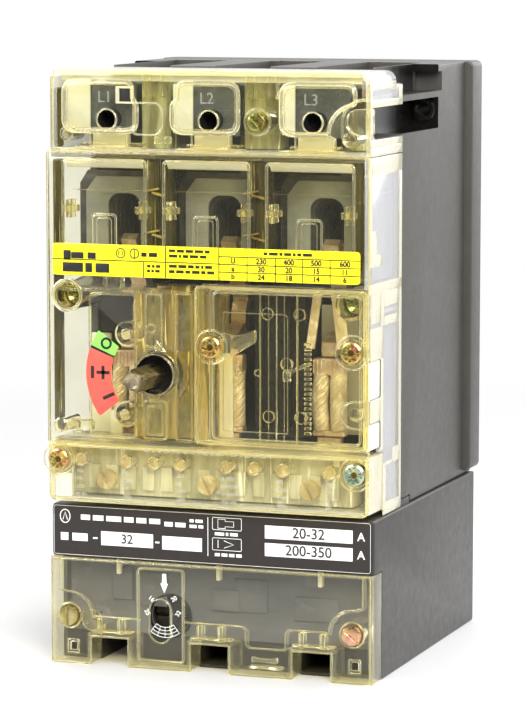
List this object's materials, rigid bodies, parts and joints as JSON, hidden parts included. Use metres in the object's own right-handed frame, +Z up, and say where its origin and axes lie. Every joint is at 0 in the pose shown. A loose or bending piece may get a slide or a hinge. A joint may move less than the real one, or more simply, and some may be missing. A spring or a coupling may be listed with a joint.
{
  "type": "circuit breaker",
  "caption": "Moulded-case circuit breaker with clear front covers, a square rotary drive shaft, arc chutes, braided flexibles and a trip unit below.",
  "frame": {"origin": "centre of the bounding box in plan, at the underside of the trip unit that the breaker stands on", "axes": "+Z up towards the line terminals, +Y to the mounting face at the rear, +X to the right seen from the front"},
  "size_m": [0.1442, 0.172, 0.2462],
  "materials": {
    "clear_plastic": "polished clear polycarbonate with a slight yellow tint",
    "dark_moulding": "warm dark grey moulding with fine specks and scuffs",
    "black_plastic": "satin black",
    "nameplate_print": "brown-black print with white fields",
    "yellow_label": "bright yellow film with black ruling",
    "red_label": "red and green film",
    "cream_moulding": "cream moulding",
    "grey_fibre": "grey fibre board",
    "passivated_brass": "gold passivated, worn at the slots",
    "copper": "bare copper",
    "olive_steel": "olive passivated steel",
    "yellow_zinc": "yellow zinc plated steel"
  },
  "bodies": {
    "enclosure": {"accessory_cover": "clear_plastic", "accessory_module": "black_plastic", "arc_chute_centre": "grey_fibre", "arc_chute_left": "grey_fibre", "arc_chute_right": "grey_fibre", "auxiliary_block": "cream_moulding", "auxiliary_cover": "clear_plastic", "band_screw_left": "passivated_brass", "band_screw_right": "passivated_brass", "base_housing": "dark_moulding", "bimetal_centre": "yellow_zinc", "bimetal_left": "yellow_zinc", "bimetal_right": "yellow_zinc", "cover_screw_left": "passivated_brass", "cover_screw_right": "passivated_brass", "flexible_centre": "copper", "flexible_left": "copper", "flexible_right": "copper", "front_cover": "clear_plastic", "line_block": "dark_moulding", "line_clamp_centre": "olive_steel", "line_clamp_left": "olive_steel", "line_clamp_right": "olive_steel", "line_screw_centre": "yellow_zinc", "line_screw_left": "yellow_zinc", "line_screw_right": "yellow_zinc", "line_terminal_centre": "copper", "line_terminal_left": "copper", "line_terminal_right": "copper", "load_conductor_centre": "copper", "load_conductor_left": "copper", "load_conductor_right": "copper", "magnet_yoke_centre": "olive_steel", "magnet_yoke_left": "olive_steel", "magnet_yoke_right": "olive_steel", "mechanism_frame": "yellow_zinc", "position_label": "red_label", "rating_label": "yellow_label", "rear_plate": "dark_moulding", "sealed_screw_left": "passivated_brass", "sealed_screw_right": "passivated_brass", "shaft_hub": "black_plastic", "terminal_cover": "clear_plastic", "terminal_cover_screw": "passivated_brass", "trip_cover": "clear_plastic", "trip_front": "dark_moulding", "trip_housing": "dark_moulding", "trip_nameplate": "nameplate_print", "trip_screw_left": "passivated_brass", "trip_screw_right": "passivated_brass"},
    "drive_shaft": {"operating_shaft": "olive_steel"},
    "contact_bar": {"crossbar": "black_plastic", "contact_arm_left": "copper", "contact_arm_centre": "copper", "contact_arm_right": "copper"},
    "trip_rocker": {"trip_bar": "black_plastic"},
    "adjusting_dial": {"thermal_dial": "black_plastic"},
    "magnet_flap_left": {"armature_left": "olive_steel"},
    "magnet_flap_centre": {"armature_centre": "olive_steel"},
    "magnet_flap_right": {"armature_right": "olive_steel"}
  },
  "joints": [
    {"name": "shaft_turn", "type": "hinge", "parent": "enclosure", "child": "drive_shaft", "pos_m": [-0.0225, -0.06205, 0.1224], "axis": [0, -1, 0], "range_deg": [0, 57]},
    {"name": "contact_swing", "type": "hinge", "parent": "enclosure", "child": "contact_bar", "pos_m": [0, -0.01205, 0.142], "axis": [-1, 0, 0], "range_deg": [0, 41.5], "deforming": ["flexible_left", "flexible_centre", "flexible_right"]},
    {"name": "trip_bar_turn", "type": "hinge", "parent": "enclosure", "child": "trip_rocker", "pos_m": [0, -0.02905, 0.05], "axis": [-1, 0, 0], "range_deg": [0, 12], "stiffness_Nm_per_rad": 0.02, "springref_deg": -8.59},
    {"name": "flap_turn_left", "type": "hinge", "parent": "enclosure", "child": "magnet_flap_left", "pos_m": [-0.044, -0.01085, 0.048], "axis": [1, 0, 0], "range_deg": [0, 12], "stiffness_Nm_per_rad": 0.01, "springref_deg": -8.59},
    {"name": "flap_turn_centre", "type": "hinge", "parent": "enclosure", "child": "magnet_flap_centre", "pos_m": [0, -0.01085, 0.048], "axis": [1, 0, 0], "range_deg": [0, 12], "stiffness_Nm_per_rad": 0.01, "springref_deg": -8.59},
    {"name": "flap_turn_right", "type": "hinge", "parent": "enclosure", "child": "magnet_flap_right", "pos_m": [0.044, -0.01085, 0.048], "axis": [1, 0, 0], "range_deg": [0, 12], "stiffness_Nm_per_rad": 0.01, "springref_deg": -8.59},
    {"name": "dial_turn", "type": "hinge", "parent": "enclosure", "child": "adjusting_dial", "pos_m": [-0.0215, -0.04405, 0.0203], "axis": [0, -1, 0], "range_deg": [-60, 60]}
  ],
  "couplings": [
    {"joint": "contact_swing", "follows": "shaft_turn", "ratio": 0.728}
  ]
}
